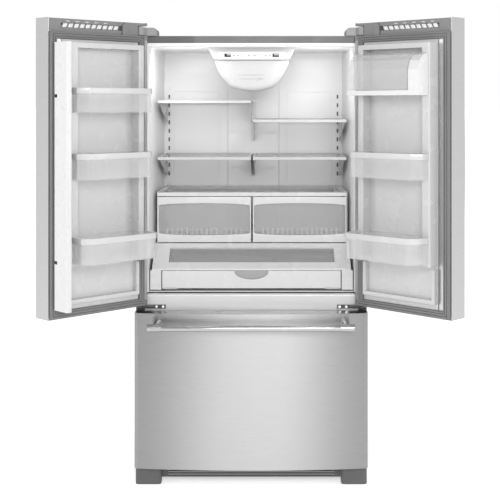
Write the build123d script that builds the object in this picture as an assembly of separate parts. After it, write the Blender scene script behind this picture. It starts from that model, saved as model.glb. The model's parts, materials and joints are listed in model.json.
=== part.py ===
from build123d import *
import math
import os

# A 36 inch free-standing french door refrigerator with a bottom freezer drawer, in millimetres.
# +X is to the viewer's right, +Y runs from the doors to the back, +Z is up, and the floor is at z = 0.
# The model is laid out from the plane of the drawer front's side edges, then moved back or forward so
# that the origin is the centre of the whole object's box on the floor. Both doors rest wide open.

# ---- driving dimensions ------------------------------------------------------------------------
WIDTH = 905.0
HALF = WIDTH / 2
SHEET = 1.5                      # steel sheet of the wrapper and the door skins
LINER = 3.0                      # moulded plastic liners

CABINET_FRONT = 48.0             # y of the cabinet's sealing plane
CABINET_BACK = 768.0
CABINET_TOP = 1743.0
CABINET_BOTTOM = 62.0
REAR_PANEL = 7.0
SEAL_WIDTH = 35.0                # width of the wrapper's sealing flange at the sides
SEAL_TOP = 28.0                  # and across the top

FRESH_HALF_FRONT = 404.0         # fresh food space: half width at its mouth and at its back
FRESH_HALF_BACK = 396.0
FRESH_FLOOR = 738.0
FRESH_CEILING = 1702.0
FRESH_MOUTH = 74.0               # the liner's floor starts behind the rail
FRESH_BACK = 645.0
RAIL_BOTTOM = 650.0
RAIL_TOP = 731.0
RAIL_DEPTH = 25.0

FREEZER_HALF = 400.0
FREEZER_FLOOR = 128.0
FREEZER_CEILING = 640.0
STEP_FRONT = 480.0               # the freezer's floor steps up over the machine space
STEP_BACK = 540.0
STEP_TOP = 335.0

DOOR_BOTTOM = 692.0
DOOR_TOP = 1791.0
DOOR_GAP = 1.5                   # half the gap between the two doors
DOOR_REAR = 35.0                 # y of the steel flange behind a door or the drawer front
BULGE = 47.0                     # how far the contoured fronts stand out at the centre line
FRONT_RADIUS = 3710.0
CORNER = 20.0
FLANGE = 57.0                    # steel flange seen inside the free edge
GASKET_DEPTH = 12.7
GASKET_WIDTH = 26.0
GASKET_INSET = 5.0
GASKET_HINGE_INSET = 20.5        # it stays inside the pin at the hinge side, so it never drags
DOOR_OPEN = 135.8                # degrees from shut to the resting, open place
PIN_X = 433.0
PIN_Y = 15.0
PIN_RADIUS = 6.0
RUNNING_FIT = 0.05
PIN_SPACE = 32.5                 # round space in the door's top for the hinge's nose
PIN_SPACE_LOW = 1741.0
PIN_SPACE_HIGH = 1779.0
CAP_TOP = 1789.0
CAP_FLOOR = 1722.0
BOTTOM_CAP_TOP = 716.0
CAP_PLAY = 0.2                   # the caps slip into the skin with this much room

DYKE_HINGE = 398.0               # the door liner's raised side walls, hinge side and free side
DYKE_FREE = 62.0
DYKE_WIDTH = 26.0
DYKE_FREE_WIDTH = 36.0
DYKE_BACK = 88.0
DYKE_LOW = 885.0                 # under this height the door liner is shallow
LINER_FLAT = 38.0
SHALLOW_BACK = 56.0

MULLION_WIDTH = 90.0             # hinged mullion on the left door
MULLION_THICK = 22.0
MULLION_BOTTOM = 733.0
MULLION_TOP = 1699.0
MULLION_TAIL = 16.4              # its pin, from its tail and from its sealing face
MULLION_FACE = 18.1
MULLION_X = -MULLION_WIDTH / 2 + MULLION_TAIL
MULLION_Y = 66.4
MULLION_PIN = 4.0
MULLION_EARS = (905.0, 1505.0)   # heights of the two ears that carry it
EAR_THICK = 10.0

DAIRY_FLOOR = 1526.0
TOP_BIN = (1444.0, 1534.0)      # lowest and highest level of each door bin
MIDDLE_BIN = (1200.0, 1294.0)
LOW_BIN = (896.0, 991.0)
BIN_DEPTH = 110.0                # from the liner's flat to the bin's front
LOW_BIN_DEPTH = 138.0
LID_PIN = 4.0
LID_Y = 95.0
LID_Z = 1656.0

DRAWER_BOTTOM = 68.0
DRAWER_TOP = 668.0

HANDLE_LENGTH = 789.0
HANDLE_RADIUS = 12.5
HANDLE_CAP = 54.0
HANDLE_CAP_RADIUS = 14.5
HANDLE_BOW = 10.0
HANDLE_STAND = 62.0              # from the steel front to the bar's centre line at its ends
DRAWER_HANDLE_Z = 624.0
DOOR_HANDLE_X = 63.0
DOOR_HANDLE_Z = 1245.0

SHELF_FRONT = 208.0
SHELF_BACK = 636.0
SHELF_HALF = 384.0
SHELF_TRIM = 11.0
SHELF_HEIGHTS = {"upper_left": 1491.0, "upper_right": 1413.0, "lower_left": 1260.0, "lower_right": 1260.0}
GLASS = 4.0

LADDER_X = 375.0
LADDER_TOP = 1552.0
LADDER_FOOT = 1117.0
SLOT_WIDTH = 7.0
SLOT_HEIGHT = 18.0
SLOT_PITCH = 38.0
SLOT_TOP = 1509.0

CRISPER_FRONT = 205.0
CRISPER_BACK = 615.0
CRISPER_HALF = 385.0
CRISPER_FLOOR = 919.0
CRISPER_TOP = 1099.0
COVER_TOP = 1116.0

DELI_FRONT = 75.0
DELI_HALF = 352.0
DELI_FLOOR = 749.0
DELI_TOP = 818.0
DELI_BACK = 560.0
DELI_COVER_TOP = 911.0

HOUSING_HALF = 176.0
HOUSING_FRONT = 132.0
HOUSING_BACK = 420.0
HOUSING_BOTTOM = 1652.0
PANEL_HALF = 134.0
DISPLAY_X = 96.0
BUTTON_X = 34.0
LAMP_BOTTOM = 1530.0

FOOT_HALF_OUT = 450.0
FOOT_HALF_IN = 350.0
LEG_X = 400.0
LEG_Y = 52.0
ROLLER_X = 380.0
ROLLER_Y = 700.0
ROLLER_RADIUS = 24.0
ROLLER_WIDTH = 30.0
FAN_X = 10.0
FAN_Y = 665.0
FAN_Z = 190.0
ICE_FAN_Z = 585.0
ICE_FAN_Y = 572.0


# ---- small helpers -----------------------------------------------------------------------------
def block(x, y, z):
    """A box between two x, two y and two z values."""
    spans = [high - low for low, high in (x, y, z)]
    middle = [(high + low) / 2 for low, high in (x, y, z)]
    return Pos(*middle) * Box(*spans)


def rod(radius, length, place, along="Z"):
    """A round bar centred at a place, along one axis."""
    turn = {"X": Rot(0, 90, 0), "Y": Rot(90, 0, 0), "Z": Rot(0, 0, 0)}[along]
    return Pos(*place) * turn * Cylinder(radius, length)


def tray(x, y, z, wall):
    """An open-topped box."""
    inside = block((x[0] + wall, x[1] - wall), (y[0] + wall, y[1] - wall), (z[0] + wall, z[1] + wall))
    return block(x, y, z) - inside


def side_profile(points, low, high):
    """A shape drawn as (y, z) points and run from one x to another."""
    outline = make_face(Polyline(*[(0, y, z) for y, z in points], close=True))
    return Pos(low, 0, 0) * extrude(outline, high - low, dir=(1, 0, 0))


def plan_profile(points, low, high):
    """A shape drawn as (x, y) points and run from one z to another."""
    return Pos(0, 0, low) * extrude(make_face(Polyline(*points, close=True)), high - low)


def ring(x, z, band, y):
    """A flat rectangular frame standing in the xz plane, between two y values."""
    hole = block((x[0] + band, x[1] - band), (y[0] - 1, y[1] + 1), (z[0] + band, z[1] - band))
    return block(x, y, z) - hole


def both_sides(shape):
    """A solid and its mirror image across the middle."""
    return [shape, mirror(shape, about=Plane.YZ)]


def group(solids):
    """Several separate solids that share one node."""
    return Compound([solid for item in solids for solid in item.solids()])


def front_y(x):
    """Depth of the contoured steel front at a distance x from the centre line."""
    return FRONT_RADIUS - BULGE - math.sqrt(FRONT_RADIUS**2 - x**2)


def contoured(x, back, inset):
    """Plan outline of a contoured front from one x to another, inset from the steel's outer face."""
    low, high = x[0] + inset, x[1] - inset
    radius = FRONT_RADIUS - inset
    centre = FRONT_RADIUS - BULGE

    def on_arc(at):
        return (at, centre - math.sqrt(radius**2 - at**2))

    middle = (low + high) / 2
    outline = ThreePointArc(on_arc(low), on_arc(middle), on_arc(high))
    outline += Polyline(on_arc(high), (high, back), (low, back), on_arc(low))
    face = make_face(outline)
    outer = [v for v in face.vertices() if abs(abs(v.X) - HALF + inset) < 1 and v.Y < back - 1]
    return fillet(outer, CORNER - inset)


def contoured_block(x, z, back, inset):
    """A solid with the contoured front."""
    return Pos(0, 0, z[0]) * extrude(contoured(x, back, inset), z[1] - z[0])


# ---- cabinet -----------------------------------------------------------------------------------
def cabinet_shell():
    """Painted wrapper: two sides, the top and the sealing flange round the mouth."""
    z = (CABINET_BOTTOM + SHEET, CABINET_TOP)
    body = block((-HALF, HALF), (CABINET_FRONT, CABINET_BACK), z)
    body = fillet(body.edges().filter_by(Axis.Y).group_by(Axis.Z)[-1], 4)
    inside = block((SHEET - HALF, HALF - SHEET), (CABINET_FRONT + SHEET, CABINET_BACK + 1),
                   (z[0] - 1, CABINET_TOP - SHEET))
    mouth = block((SEAL_WIDTH - HALF, HALF - SEAL_WIDTH), (CABINET_FRONT - 1, CABINET_FRONT + 10),
                  (z[0] - 1, CABINET_TOP - SEAL_TOP))
    return body - inside - mouth


def rear_panel():
    """Steel back, with air slots low down beside the machine space."""
    panel = block((-HALF, HALF), (CABINET_BACK, CABINET_BACK + REAR_PANEL),
                  (CABINET_BOTTOM + SHEET, CABINET_TOP))
    panel -= block((4 - HALF, HALF - 4), (CABINET_BACK - 1, CABINET_BACK + REAR_PANEL - SHEET),
                   (CABINET_BOTTOM + 8, CABINET_TOP - 6))
    for row in range(6):
        z = 120 + 26 * row
        for x in (-300, 0, 300):
            panel -= block((x - 90, x + 90), (CABINET_BACK - 1, CABINET_BACK + 20), (z, z + 8))
    return panel - rod(9, 40, (-360, CABINET_BACK, 200), "Y")


def fresh_food_liner():
    """White moulded liner of the upper space, open at the front, with a lip round its mouth."""
    front, back = CABINET_FRONT + SHEET, FRESH_BACK
    z = (FRESH_FLOOR, FRESH_CEILING)

    def plan(offset, mouth, end):
        return [(-FRESH_HALF_FRONT - offset, mouth), (FRESH_HALF_FRONT + offset, mouth),
                (FRESH_HALF_BACK + offset, end), (-FRESH_HALF_BACK - offset, end)]

    outer = plan_profile(plan(LINER, front, back + LINER), z[0] - LINER, z[1] + LINER)
    inner = plan_profile(plan(0, front - 1, back), *z)
    body = outer - inner
    lip_half = HALF - SEAL_WIDTH
    lip = block((-lip_half, lip_half), (CABINET_FRONT, front), (RAIL_TOP, CABINET_TOP - SEAL_TOP))
    lip -= block((-FRESH_HALF_FRONT, FRESH_HALF_FRONT), (CABINET_FRONT - 1, front + 1), (RAIL_TOP - 1, z[1]))
    body += lip
    return body - block((-lip_half - 1, lip_half + 1), (CABINET_FRONT - 1, FRESH_MOUTH), (0, FRESH_FLOOR))


def mullion_rail():
    """Steel-faced rail between the two spaces, with a rounded top edge."""
    half = HALF - SEAL_WIDTH
    y = (CABINET_FRONT, CABINET_FRONT + RAIL_DEPTH)
    rail = block((-half, half), y, (RAIL_BOTTOM, RAIL_TOP))
    rail = fillet(rail.edges().filter_by(Axis.X).group_by(Axis.Z)[-1].sort_by(Axis.Y)[0], 9)
    hollow = block((-half + 3, half - 3), (y[0] + 3, y[1] + 1), (RAIL_BOTTOM + 3, RAIL_TOP - 3))
    return rail - hollow


def freezer_liner():
    """White liner of the freezer, stepped up at the back over the machine space."""
    front = CABINET_FRONT + SHEET

    def profile(offset, mouth):
        back, floor, ceiling = FRESH_BACK + offset, FREEZER_FLOOR - offset, FREEZER_CEILING + offset
        return [(mouth, floor), (STEP_FRONT, floor), (STEP_BACK, STEP_TOP - offset),
                (back, STEP_TOP - offset), (back, ceiling), (mouth, ceiling)]

    half = FREEZER_HALF + LINER
    body = side_profile(profile(LINER, front), -half, half)
    body -= side_profile(profile(0, front - 1), -FREEZER_HALF, FREEZER_HALF)
    lip_half = HALF - SEAL_WIDTH
    lip = block((-lip_half, lip_half), (CABINET_FRONT, front), (FREEZER_FLOOR - 28, RAIL_BOTTOM))
    lip -= block((-FREEZER_HALF, FREEZER_HALF), (CABINET_FRONT - 1, front + 1),
                 (FREEZER_FLOOR, FREEZER_CEILING))
    return body + lip


def base_frame():
    """Steel base tray that carries the machine, the levelling legs and the roller axle."""
    base = block((-HALF, HALF), (CABINET_FRONT, CABINET_BACK), (CABINET_BOTTOM, CABINET_BOTTOM + SHEET))
    lip_half = HALF - SEAL_WIDTH
    base += block((-lip_half, lip_half), (CABINET_FRONT, CABINET_FRONT + SHEET),
                  (CABINET_BOTTOM, FREEZER_FLOOR - 28))
    for side in (-1, 1):
        leg = block((side * LEG_X - 16, side * LEG_X + 16), (LEG_Y - 0.5, LEG_Y + 32), (40, CABINET_BOTTOM))
        base += leg
        for cheek in (-1, 1):
            at = side * ROLLER_X + cheek * (ROLLER_WIDTH / 2 + 4)
            base += block((at - 2, at + 2), (ROLLER_Y - 30, ROLLER_Y + 30), (14, CABINET_BOTTOM))
            base -= rod(5 + RUNNING_FIT, 12, (at, ROLLER_Y, ROLLER_RADIUS), "X")
        base -= rod(5 + RUNNING_FIT, 80, (side * LEG_X, LEG_Y + 16, 50))
    return base


def base_grille():
    """Slatted air grille along the floor and a large foot cover at each end."""
    grille = block((-FOOT_HALF_IN + 1, FOOT_HALF_IN - 1), (34, 44), (18, 60))
    for row in range(4):
        z = 24 + 9 * row
        grille -= block((-FOOT_HALF_IN + 24, FOOT_HALF_IN - 24), (30, 50), (z, z + 4.5))
    cover = block((FOOT_HALF_IN, FOOT_HALF_OUT), (0, 46), (0, 61.5))
    cover = fillet(cover.edges().filter_by(Axis.Z).group_by(Axis.Y)[0], 14)
    cover -= block((FOOT_HALF_IN + 4, FOOT_HALF_OUT - 4), (5, 47), (-1, 57))
    return group([grille, *both_sides(cover)])


def levelling_leg(side):
    """Threaded levelling leg with a hexagonal foot."""
    at = (side * LEG_X, LEG_Y + 16)
    foot = Pos(*at, 0) * extrude(RegularPolygon(16, 6), 12)
    neck = Pos(*at, 12) * Cylinder(8, 10, align=(Align.CENTER, Align.CENTER, Align.MIN))
    return foot + neck + rod(5, 50, (*at, 34))


def rear_rollers():
    """Two rear rollers on one axle."""
    shaft = rod(5, 2 * ROLLER_X + ROLLER_WIDTH + 20, (0, ROLLER_Y, ROLLER_RADIUS), "X")
    for side in (-1, 1):
        wheel = rod(ROLLER_RADIUS, ROLLER_WIDTH, (side * ROLLER_X, ROLLER_Y, ROLLER_RADIUS), "X")
        wheel = fillet(wheel.edges().filter_by(GeomType.CIRCLE), 3)
        shaft += wheel
    return shaft


def compressor():
    """Sealed compressor: a domed steel can on a mounting plate."""
    can = Pos(-250, 660, 76) * Cylinder(82, 150, align=(Align.CENTER, Align.CENTER, Align.MIN))
    can = fillet(can.edges().filter_by(GeomType.CIRCLE).group_by(Axis.Z)[-1], 45)
    can = fillet(can.edges().filter_by(GeomType.CIRCLE).group_by(Axis.Z)[0], 18)
    plate = block((-360, -140), (590, 730), (CABINET_BOTTOM + SHEET + 10, 78))
    feet = [rod(11, 10, (x, y, CABINET_BOTTOM + SHEET + 5)) for x in (-345, -155) for y in (604, 716)]
    body = can + plate
    for foot in feet:
        body += foot
    return body + rod(9, 60, (-250, 570, 190), "Y")


def condenser():
    """Folded condenser tube held between two end plates."""
    tube = []
    rows, gap, radius = 7, 26, 3.5
    for row in range(rows):
        z = 90 + gap * row
        tube += [rod(radius, 200, (230, 640, z), "X"), rod(radius, 200, (230, 690, z), "X")]
    plates = [block((x, x + 2), (610, 720), (CABINET_BOTTOM + SHEET, 270)) for x in (129, 329)]
    body = plates[0] + plates[1]
    for piece in tube:
        body += piece
    return body


def fan(radius, hub, depth, blades):
    """Axial fan rotor about the Z axis."""
    rotor = Cylinder(hub, depth)
    for step in range(blades):
        blade = Pos((radius + hub) / 2 - 1, 0, 0) * Rot(32, 0, 0) * Box(radius - hub + 2, depth * 1.3, 2)
        rotor += Rot(0, 0, 360 / blades * step) * blade
    return rotor + Cylinder(3, depth * 2)


def condenser_fan():
    return Pos(FAN_X, FAN_Y, FAN_Z) * Rot(0, 90, 0) * fan(66, 20, 24, 5)


def condenser_fan_motor():
    """Fan motor on a bracket that stands on the base."""
    motor = rod(24, 36, (FAN_X - 44, FAN_Y, FAN_Z), "X")
    motor += block((FAN_X - 50, FAN_X - 38), (FAN_Y - 12, FAN_Y + 12), (CABINET_BOTTOM + SHEET, FAN_Z - 20))
    motor += block((FAN_X - 66, FAN_X - 22), (FAN_Y - 30, FAN_Y + 30), (CABINET_BOTTOM + SHEET, 68))
    return motor - rod(3 + RUNNING_FIT, 60, (FAN_X - 24, FAN_Y, FAN_Z), "X")


def evaporator():
    """Finned evaporator in the cold air space behind the freezer's rear cover."""
    body = block((-260, 260), (575, 620), (360, 364))
    for row in range(5):
        body += rod(5, 520, (0, 597, 385 + 28 * row), "X")
    for step in range(21):
        x = -250 + 25 * step
        body += block((x - 0.6, x + 0.6), (575, 620), (362, 515))
    return body


def evaporator_cover():
    """Freezer's rear cover, with a round outlet for the cold air fan and a return slot."""
    cover = block((-FREEZER_HALF + 1, FREEZER_HALF - 1), (548, 552), (STEP_TOP + 0.5, FREEZER_CEILING - 0.5))
    cover -= rod(50, 20, (0, 550, ICE_FAN_Z), "Y")
    for step in range(-5, 6):
        cover -= block((50 * step - 18, 50 * step + 18), (540, 560), (345, 355))
    spokes = block((-2, 2), (548, 552), (ICE_FAN_Z - 52, ICE_FAN_Z + 52))
    spokes += block((-52, 52), (548, 552), (ICE_FAN_Z - 2, ICE_FAN_Z + 2))
    return cover + spokes


def evaporator_fan():
    return Pos(0, ICE_FAN_Y, ICE_FAN_Z) * Rot(90, 0, 0) * fan(44, 14, 14, 5)


def air_duct():
    """Raised duct panel up the middle of the fresh food space's back, with air outlets."""
    duct = block((-116, 116), (631, FRESH_BACK), (DELI_COVER_TOP + 30, FRESH_CEILING))
    duct = fillet(duct.edges().filter_by(Axis.Z).group_by(Axis.Y)[0], 8)
    for z in (1345, 1190):
        for x in (-72, 72):
            duct -= block((x - 24, x + 24), (625, 638), (z, z + 8))
    return duct


def control_housing():
    """White housing under the ceiling that carries the control panel and the lamps."""
    outline = [(-HOUSING_HALF, FRESH_CEILING), (HOUSING_HALF, FRESH_CEILING),
               (PANEL_HALF + 16, HOUSING_BOTTOM), (-PANEL_HALF - 16, HOUSING_BOTTOM)]
    face = make_face(Polyline(*[(x, 0, z) for x, z in outline], close=True))
    body = Pos(0, HOUSING_FRONT, 0) * extrude(face, HOUSING_BACK - HOUSING_FRONT, dir=(0, 1, 0))
    body = fillet(body.edges().group_by(Axis.Y)[0].sort_by(Axis.Z)[0], 6)
    body -= block((-PANEL_HALF, PANEL_HALF), (HOUSING_FRONT - 1, HOUSING_FRONT + 12), (1654, 1686))
    hollow = block((-PANEL_HALF, PANEL_HALF), (HOUSING_FRONT + 30, HOUSING_BACK - 12), (1640, 1690))
    return body - hollow


def control_panel():
    """Control strip with two display windows and holes for its two buttons."""
    width = (-PANEL_HALF + 0.4, PANEL_HALF - 0.4)
    panel = block(width, (HOUSING_FRONT - 2, HOUSING_FRONT + 10), (1654.5, 1685.5))
    for side in (-1, 1):
        window = (side * DISPLAY_X - 14, side * DISPLAY_X + 14)
        panel -= block(window, (HOUSING_FRONT - 3, HOUSING_FRONT - 0.5), (1664, 1678))
        panel -= rod(8.3, 40, (side * BUTTON_X, HOUSING_FRONT + 4, 1670), "Y")
    return panel


def button(side):
    """Round push button of the control panel."""
    cap = rod(8, 10, (side * BUTTON_X, HOUSING_FRONT + 2.5, 1670), "Y")
    return fillet(cap.edges().group_by(Axis.Y)[0], 1.2)


def lamp_outline(offset):
    """Front outline of the lamp cover: straight top, sides drawn in to a wide round bottom."""
    top, low = 150 + offset, 84 + offset
    z = (HOUSING_BOTTOM - 0.5, LAMP_BOTTOM - offset)
    sides = [Line((-top, 0, z[0]), (top, 0, z[0]))]
    for side in (-1, 1):
        sides.append(ThreePointArc((side * top, 0, z[0]), (side * (top - 26), 0, z[0] - 62 - offset / 2),
                                   (side * low, 0, z[1] + 16)))
    sides.append(ThreePointArc((-low, 0, z[1] + 16), (0, 0, z[1]), (low, 0, z[1] + 16)))
    return make_face(sides)


def light_diffuser():
    """Translucent lamp cover that hangs from the control housing."""
    outer = Pos(0, HOUSING_FRONT + 22, 0) * extrude(lamp_outline(0), 260, dir=(0, 1, 0))
    outer = fillet(outer.edges().group_by(Axis.Y)[0].sort_by(Axis.Z)[:-1], 14)
    inner = Pos(0, HOUSING_FRONT + 26, 0) * extrude(lamp_outline(-4), 252, dir=(0, 1, 0))
    inner = Pos(0, 0, 4.2) * inner
    return outer - inner


def lamps():
    """Two tubular lamps in the housing's hollow, each with its holder."""
    bulbs = []
    for side in (-1, 1):
        x = side * 60
        bulb = rod(14, 80, (x, 250, 1640), "Y") + rod(9, 40, (x, 300, 1640), "Y")
        bulb += block((x - 12, x + 12), (318, 330), (1628, 1690))
        bulbs.append(bulb)
    return group(bulbs)


def shelf_ladders():
    """Slotted steel ladders on the back wall: one at each side and a double one in the middle."""
    count = 10
    strips = []
    for x in (-LADDER_X, LADDER_X):
        strip = block((x - 11, x + 11), (FRESH_BACK - 5, FRESH_BACK), (LADDER_FOOT, LADDER_TOP))
        for step in range(count):
            z = SLOT_TOP - SLOT_PITCH * step
            strip -= block((x - SLOT_WIDTH / 2, x + SLOT_WIDTH / 2), (FRESH_BACK - 9, FRESH_BACK - 1.5),
                           (z - SLOT_HEIGHT / 2, z + SLOT_HEIGHT / 2))
        strips.append(strip)
    middle = block((-11, 11), (626, 631), (COVER_TOP + 2, SLOT_TOP + 20))
    for step in range(count):
        z = SLOT_TOP - SLOT_PITCH * step
        for x in (-5.5, 5.5):
            middle -= block((x - 2, x + 2), (620, 630), (z - SLOT_HEIGHT / 2, z + SLOT_HEIGHT / 2))
    return group([*strips, middle])


def shelf_frame(side, z):
    """Half-width cantilever shelf: trim round the glass and a gusset under each side."""
    x = (4.5, SHELF_HALF)
    frame = block(x, (SHELF_FRONT, SHELF_BACK - 12), (z - SHELF_TRIM, z))
    frame -= block((x[0] + 9, x[1] - 9), (SHELF_FRONT + 10, SHELF_BACK - 22), (z - SHELF_TRIM - 1, z + 1))
    frame += block((x[0] + 5, x[1] - 5), (SHELF_FRONT + 6, SHELF_BACK - 18), (z - SHELF_TRIM, z - GLASS - 1))
    frame -= block((x[0] + 14, x[1] - 14), (SHELF_FRONT + 15, SHELF_BACK - 27), (z - SHELF_TRIM - 1, z + 1))
    for at in (x[0] + 1, SHELF_HALF - 3):
        gusset = side_profile([(SHELF_FRONT + 60, z - SHELF_TRIM), (SHELF_BACK - 12, z - SHELF_TRIM),
                               (SHELF_BACK - 12, z - 96), (SHELF_BACK - 40, z - 96),
                               (SHELF_FRONT + 150, z - SHELF_TRIM - 26)], at, at + 2)
        frame += gusset
    return frame if side > 0 else mirror(frame, about=Plane.YZ)


def shelf_glass(side, z):
    """Glass pane that drops into a shelf's trim."""
    pane = block((13.8, SHELF_HALF - 9.3), (SHELF_FRONT + 10.3, SHELF_BACK - 22.3), (z - GLASS - 1, z - 0.5))
    return pane if side > 0 else mirror(pane, about=Plane.YZ)


def shelf_side(name):
    return 1 if name.endswith("right") else -1


def crisper_cover():
    """White frame over the crispers, with the middle and side guides they hang from."""
    y = (CRISPER_FRONT, FRESH_BACK - 16)
    cover = block((-CRISPER_HALF, CRISPER_HALF), y, (COVER_TOP - 14, COVER_TOP))
    for rim, depth in ((24, 6), (34, 20)):
        cover -= block((rim - CRISPER_HALF, CRISPER_HALF - rim), (y[0] + rim - 2, y[1] - rim),
                       (COVER_TOP - depth, COVER_TOP + 1))
    for side in (-1, 1):
        post = block((CRISPER_HALF + 0.5, 396), (300, 610), (DELI_COVER_TOP, COVER_TOP - 4))
        post += block((CRISPER_HALF - 4, 396), (300, 610), (COVER_TOP - 14, COVER_TOP - 4))
        cover += post if side > 0 else mirror(post, about=Plane.YZ)
    return cover


def deli_cover():
    """Sloping cover over the wide drawer, with a window opening and a block at each end."""
    slope = [(DELI_FRONT, 819.5), (DELI_FRONT, 826), (CRISPER_FRONT - 2, DELI_COVER_TOP),
             (615, DELI_COVER_TOP), (615, DELI_COVER_TOP - 5), (CRISPER_FRONT + 2, DELI_COVER_TOP - 5),
             (DELI_FRONT + 10, 821), (DELI_FRONT + 10, 819.5)]
    cover = side_profile(slope, -393, 393)
    cover -= side_profile([(106, 800), (106, 900), (184, 940), (184, 880)], -330, 330)
    for side in (-1, 1):
        outline = [(DELI_FRONT, FRESH_FLOOR + 5), (DELI_FRONT, 819.5), (DELI_FRONT + 10, 819.5),
                   (DELI_FRONT + 10, 822), (CRISPER_FRONT + 2, DELI_COVER_TOP - 5),
                   (612, DELI_COVER_TOP - 5), (612, FRESH_FLOOR + 5)]
        end = side_profile(outline, DELI_HALF + 4, DELI_HALF + 8)
        end += block((DELI_HALF + 4, 400), (DELI_FRONT, DELI_FRONT + 6), (FRESH_FLOOR + 5, 819.5))
        cover += end if side > 0 else mirror(end, about=Plane.YZ)
    return cover


def cover_glass():
    """The crisper cover's glass and the wide drawer's sloping window."""
    pane = block((-CRISPER_HALF + 24.4, CRISPER_HALF - 24.4), (CRISPER_FRONT + 22.4, FRESH_BACK - 40.4),
                 (COVER_TOP - 6, COVER_TOP - 1))
    rise = (DELI_COVER_TOP - 826) / (CRISPER_FRONT - 2 - DELI_FRONT)
    window = side_profile([(y, 826 + rise * (y - DELI_FRONT) + dz)
                           for y, dz in ((106.4, -1), (183.6, -1), (183.6, -4), (106.4, -4))], -329.6, 329.6)
    return group([pane, window])


def crisper(side):
    """Clear vegetable drawer with a solid front rail at its top and its foot."""
    x = (3.5, CRISPER_HALF)
    body = tray((x[0] + 5, x[1] - 5), (CRISPER_FRONT + 4, CRISPER_BACK), (CRISPER_FLOOR, CRISPER_TOP - 8), 3)
    body += block(x, (CRISPER_FRONT, CRISPER_FRONT + 14), (CRISPER_TOP - 34, CRISPER_TOP))
    body += block(x, (CRISPER_FRONT, CRISPER_FRONT + 8), (CRISPER_FLOOR - 4, CRISPER_FLOOR + 36))
    for edge in ((x[0] + 1, x[0] + 8), (x[1] - 8, x[1] - 1)):
        body += block(edge, (CRISPER_FRONT + 4, CRISPER_BACK), (CRISPER_TOP - 16, CRISPER_TOP - 8))
    return body if side > 0 else mirror(body, about=Plane.YZ)


def deli_drawer():
    """Full-width drawer with a scooped finger grip in its front."""
    x = (-DELI_HALF, DELI_HALF)
    body = tray((x[0] + 4, x[1] - 4), (DELI_FRONT + 4, DELI_BACK), (DELI_FLOOR, DELI_TOP - 6), 3)
    front = block(x, (DELI_FRONT - 3, DELI_FRONT + 6), (DELI_FLOOR, DELI_TOP))
    body += front
    grip = Pos(0, DELI_FRONT - 3, DELI_TOP) * Rot(90, 0, 0) * scale(Cylinder(69, 16), by=(1, 0.5, 1))
    body -= grip
    scoop = Pos(0, DELI_FRONT + 7, DELI_TOP) * Rot(90, 0, 0) * scale(Cylinder(72, 2), by=(1, 0.53, 1))
    scoop -= block((-80, 80), (0, 200), (DELI_TOP - 0.5, DELI_TOP + 60))
    return body + scoop


def deli_divider():
    """Upright divider that slides along the wide drawer."""
    plate = block((96, 99), (DELI_FRONT + 18, DELI_BACK - 6), (DELI_FLOOR + 4, DELI_TOP - 8))
    return plate + block((88, 107), (DELI_FRONT + 18, DELI_FRONT + 36), (DELI_TOP - 12, DELI_TOP - 7.5))


# ---- hinges ------------------------------------------------------------------------------------
def upper_hinge():
    """Right upper hinge: a leaf on the cabinet's top, a raised arm and the pin that hangs from it."""
    arm_z = (1757, 1761)
    leaf = block((378, 419), (58, 150), (CABINET_TOP, CABINET_TOP + 4))
    leaf += block((378, 419), (58, 62), (CABINET_TOP, arm_z[1]))
    leaf += block((386, 419), (40, 62), arm_z) + rod(12, 4, (PIN_X, PIN_Y, arm_z[0] + 2))
    leaf += plan_profile([(424, 8), (439, 18), (419, 38), (419, 42), (412, 42)], *arm_z)
    pin_low = CAP_FLOOR + 3
    return leaf + rod(PIN_RADIUS, arm_z[1] - pin_low, (PIN_X, PIN_Y, (arm_z[1] + pin_low) / 2))


def lower_hinge():
    """Right lower hinge: an angle screwed to the rail, with a pin that stands up into the door."""
    tab = block((336, 444), (CABINET_FRONT - 3, CABINET_FRONT), (674, 689))
    arm = block((384, 444), (PIN_Y, CABINET_FRONT), (684, 689)) + rod(13, 5, (PIN_X, PIN_Y, 686.5))
    pin_top = BOTTOM_CAP_TOP - 3
    return tab + arm + rod(PIN_RADIUS, pin_top - 686, (PIN_X, PIN_Y, (pin_top + 686) / 2))


def hinge_cover():
    """Rounded plastic cover over the right upper hinge, with a nose that turns inside the door's top."""
    plan = Pos(PIN_X, PIN_Y) * Circle(17) + Pos(399, 98) * Rectangle(54, 124)
    plan += make_face(Polyline((416, 14), (446, 20), (426, 37), (408, 37), close=True))
    low, high = CABINET_TOP + 0.5, 1775
    body = Pos(0, 0, low) * extrude(plan, high - low)
    body = fillet(body.edges().filter_by(Axis.Y).group_by(Axis.Z)[-1].sort_by(Axis.X)[0], 14)
    return body - Pos(0, 0, low - 1) * extrude(offset(plan, -3), high - low - 2)


def screw_shanks(radius):
    """Shanks of the right side's hinge screws: two into the rail and three into the cabinet's top."""
    low = [rod(radius, 16, (x, CABINET_FRONT + 3, 681.5), "Y") for x in (346, 372)]
    high = [rod(radius, 16, (x, y, CABINET_TOP - 2)) for x, y in ((388, 92), (410, 92), (399, 130))]
    return low, high


def screws():
    """Round-head screws of the four hinges."""
    low, high = screw_shanks(2.5)
    low = [shank + Pos(0, -7.2, 0) * rod(5, 2.4, shank.center(), "Y") for shank in low]
    high = [shank + Pos(0, 0, 7.5) * rod(5, 3, shank.center()) for shank in high]
    return group([solid for screw in low + high for solid in both_sides(screw)])


def without_screw_holes(shape):
    """Cut the hinge screws' clearance holes from a shape, at both sides."""
    for holes in screw_shanks(2.6):
        for hole in holes:
            for solid in both_sides(hole):
                shape -= solid
    return shape


# ---- doors, drawn as the right one, shut ---------------------------------------------------------
DOOR_X = (DOOR_GAP, HALF)


def pin_bore(z):
    return rod(PIN_RADIUS + RUNNING_FIT, z[1] - z[0], (PIN_X, PIN_Y, (z[0] + z[1]) / 2))


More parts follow.
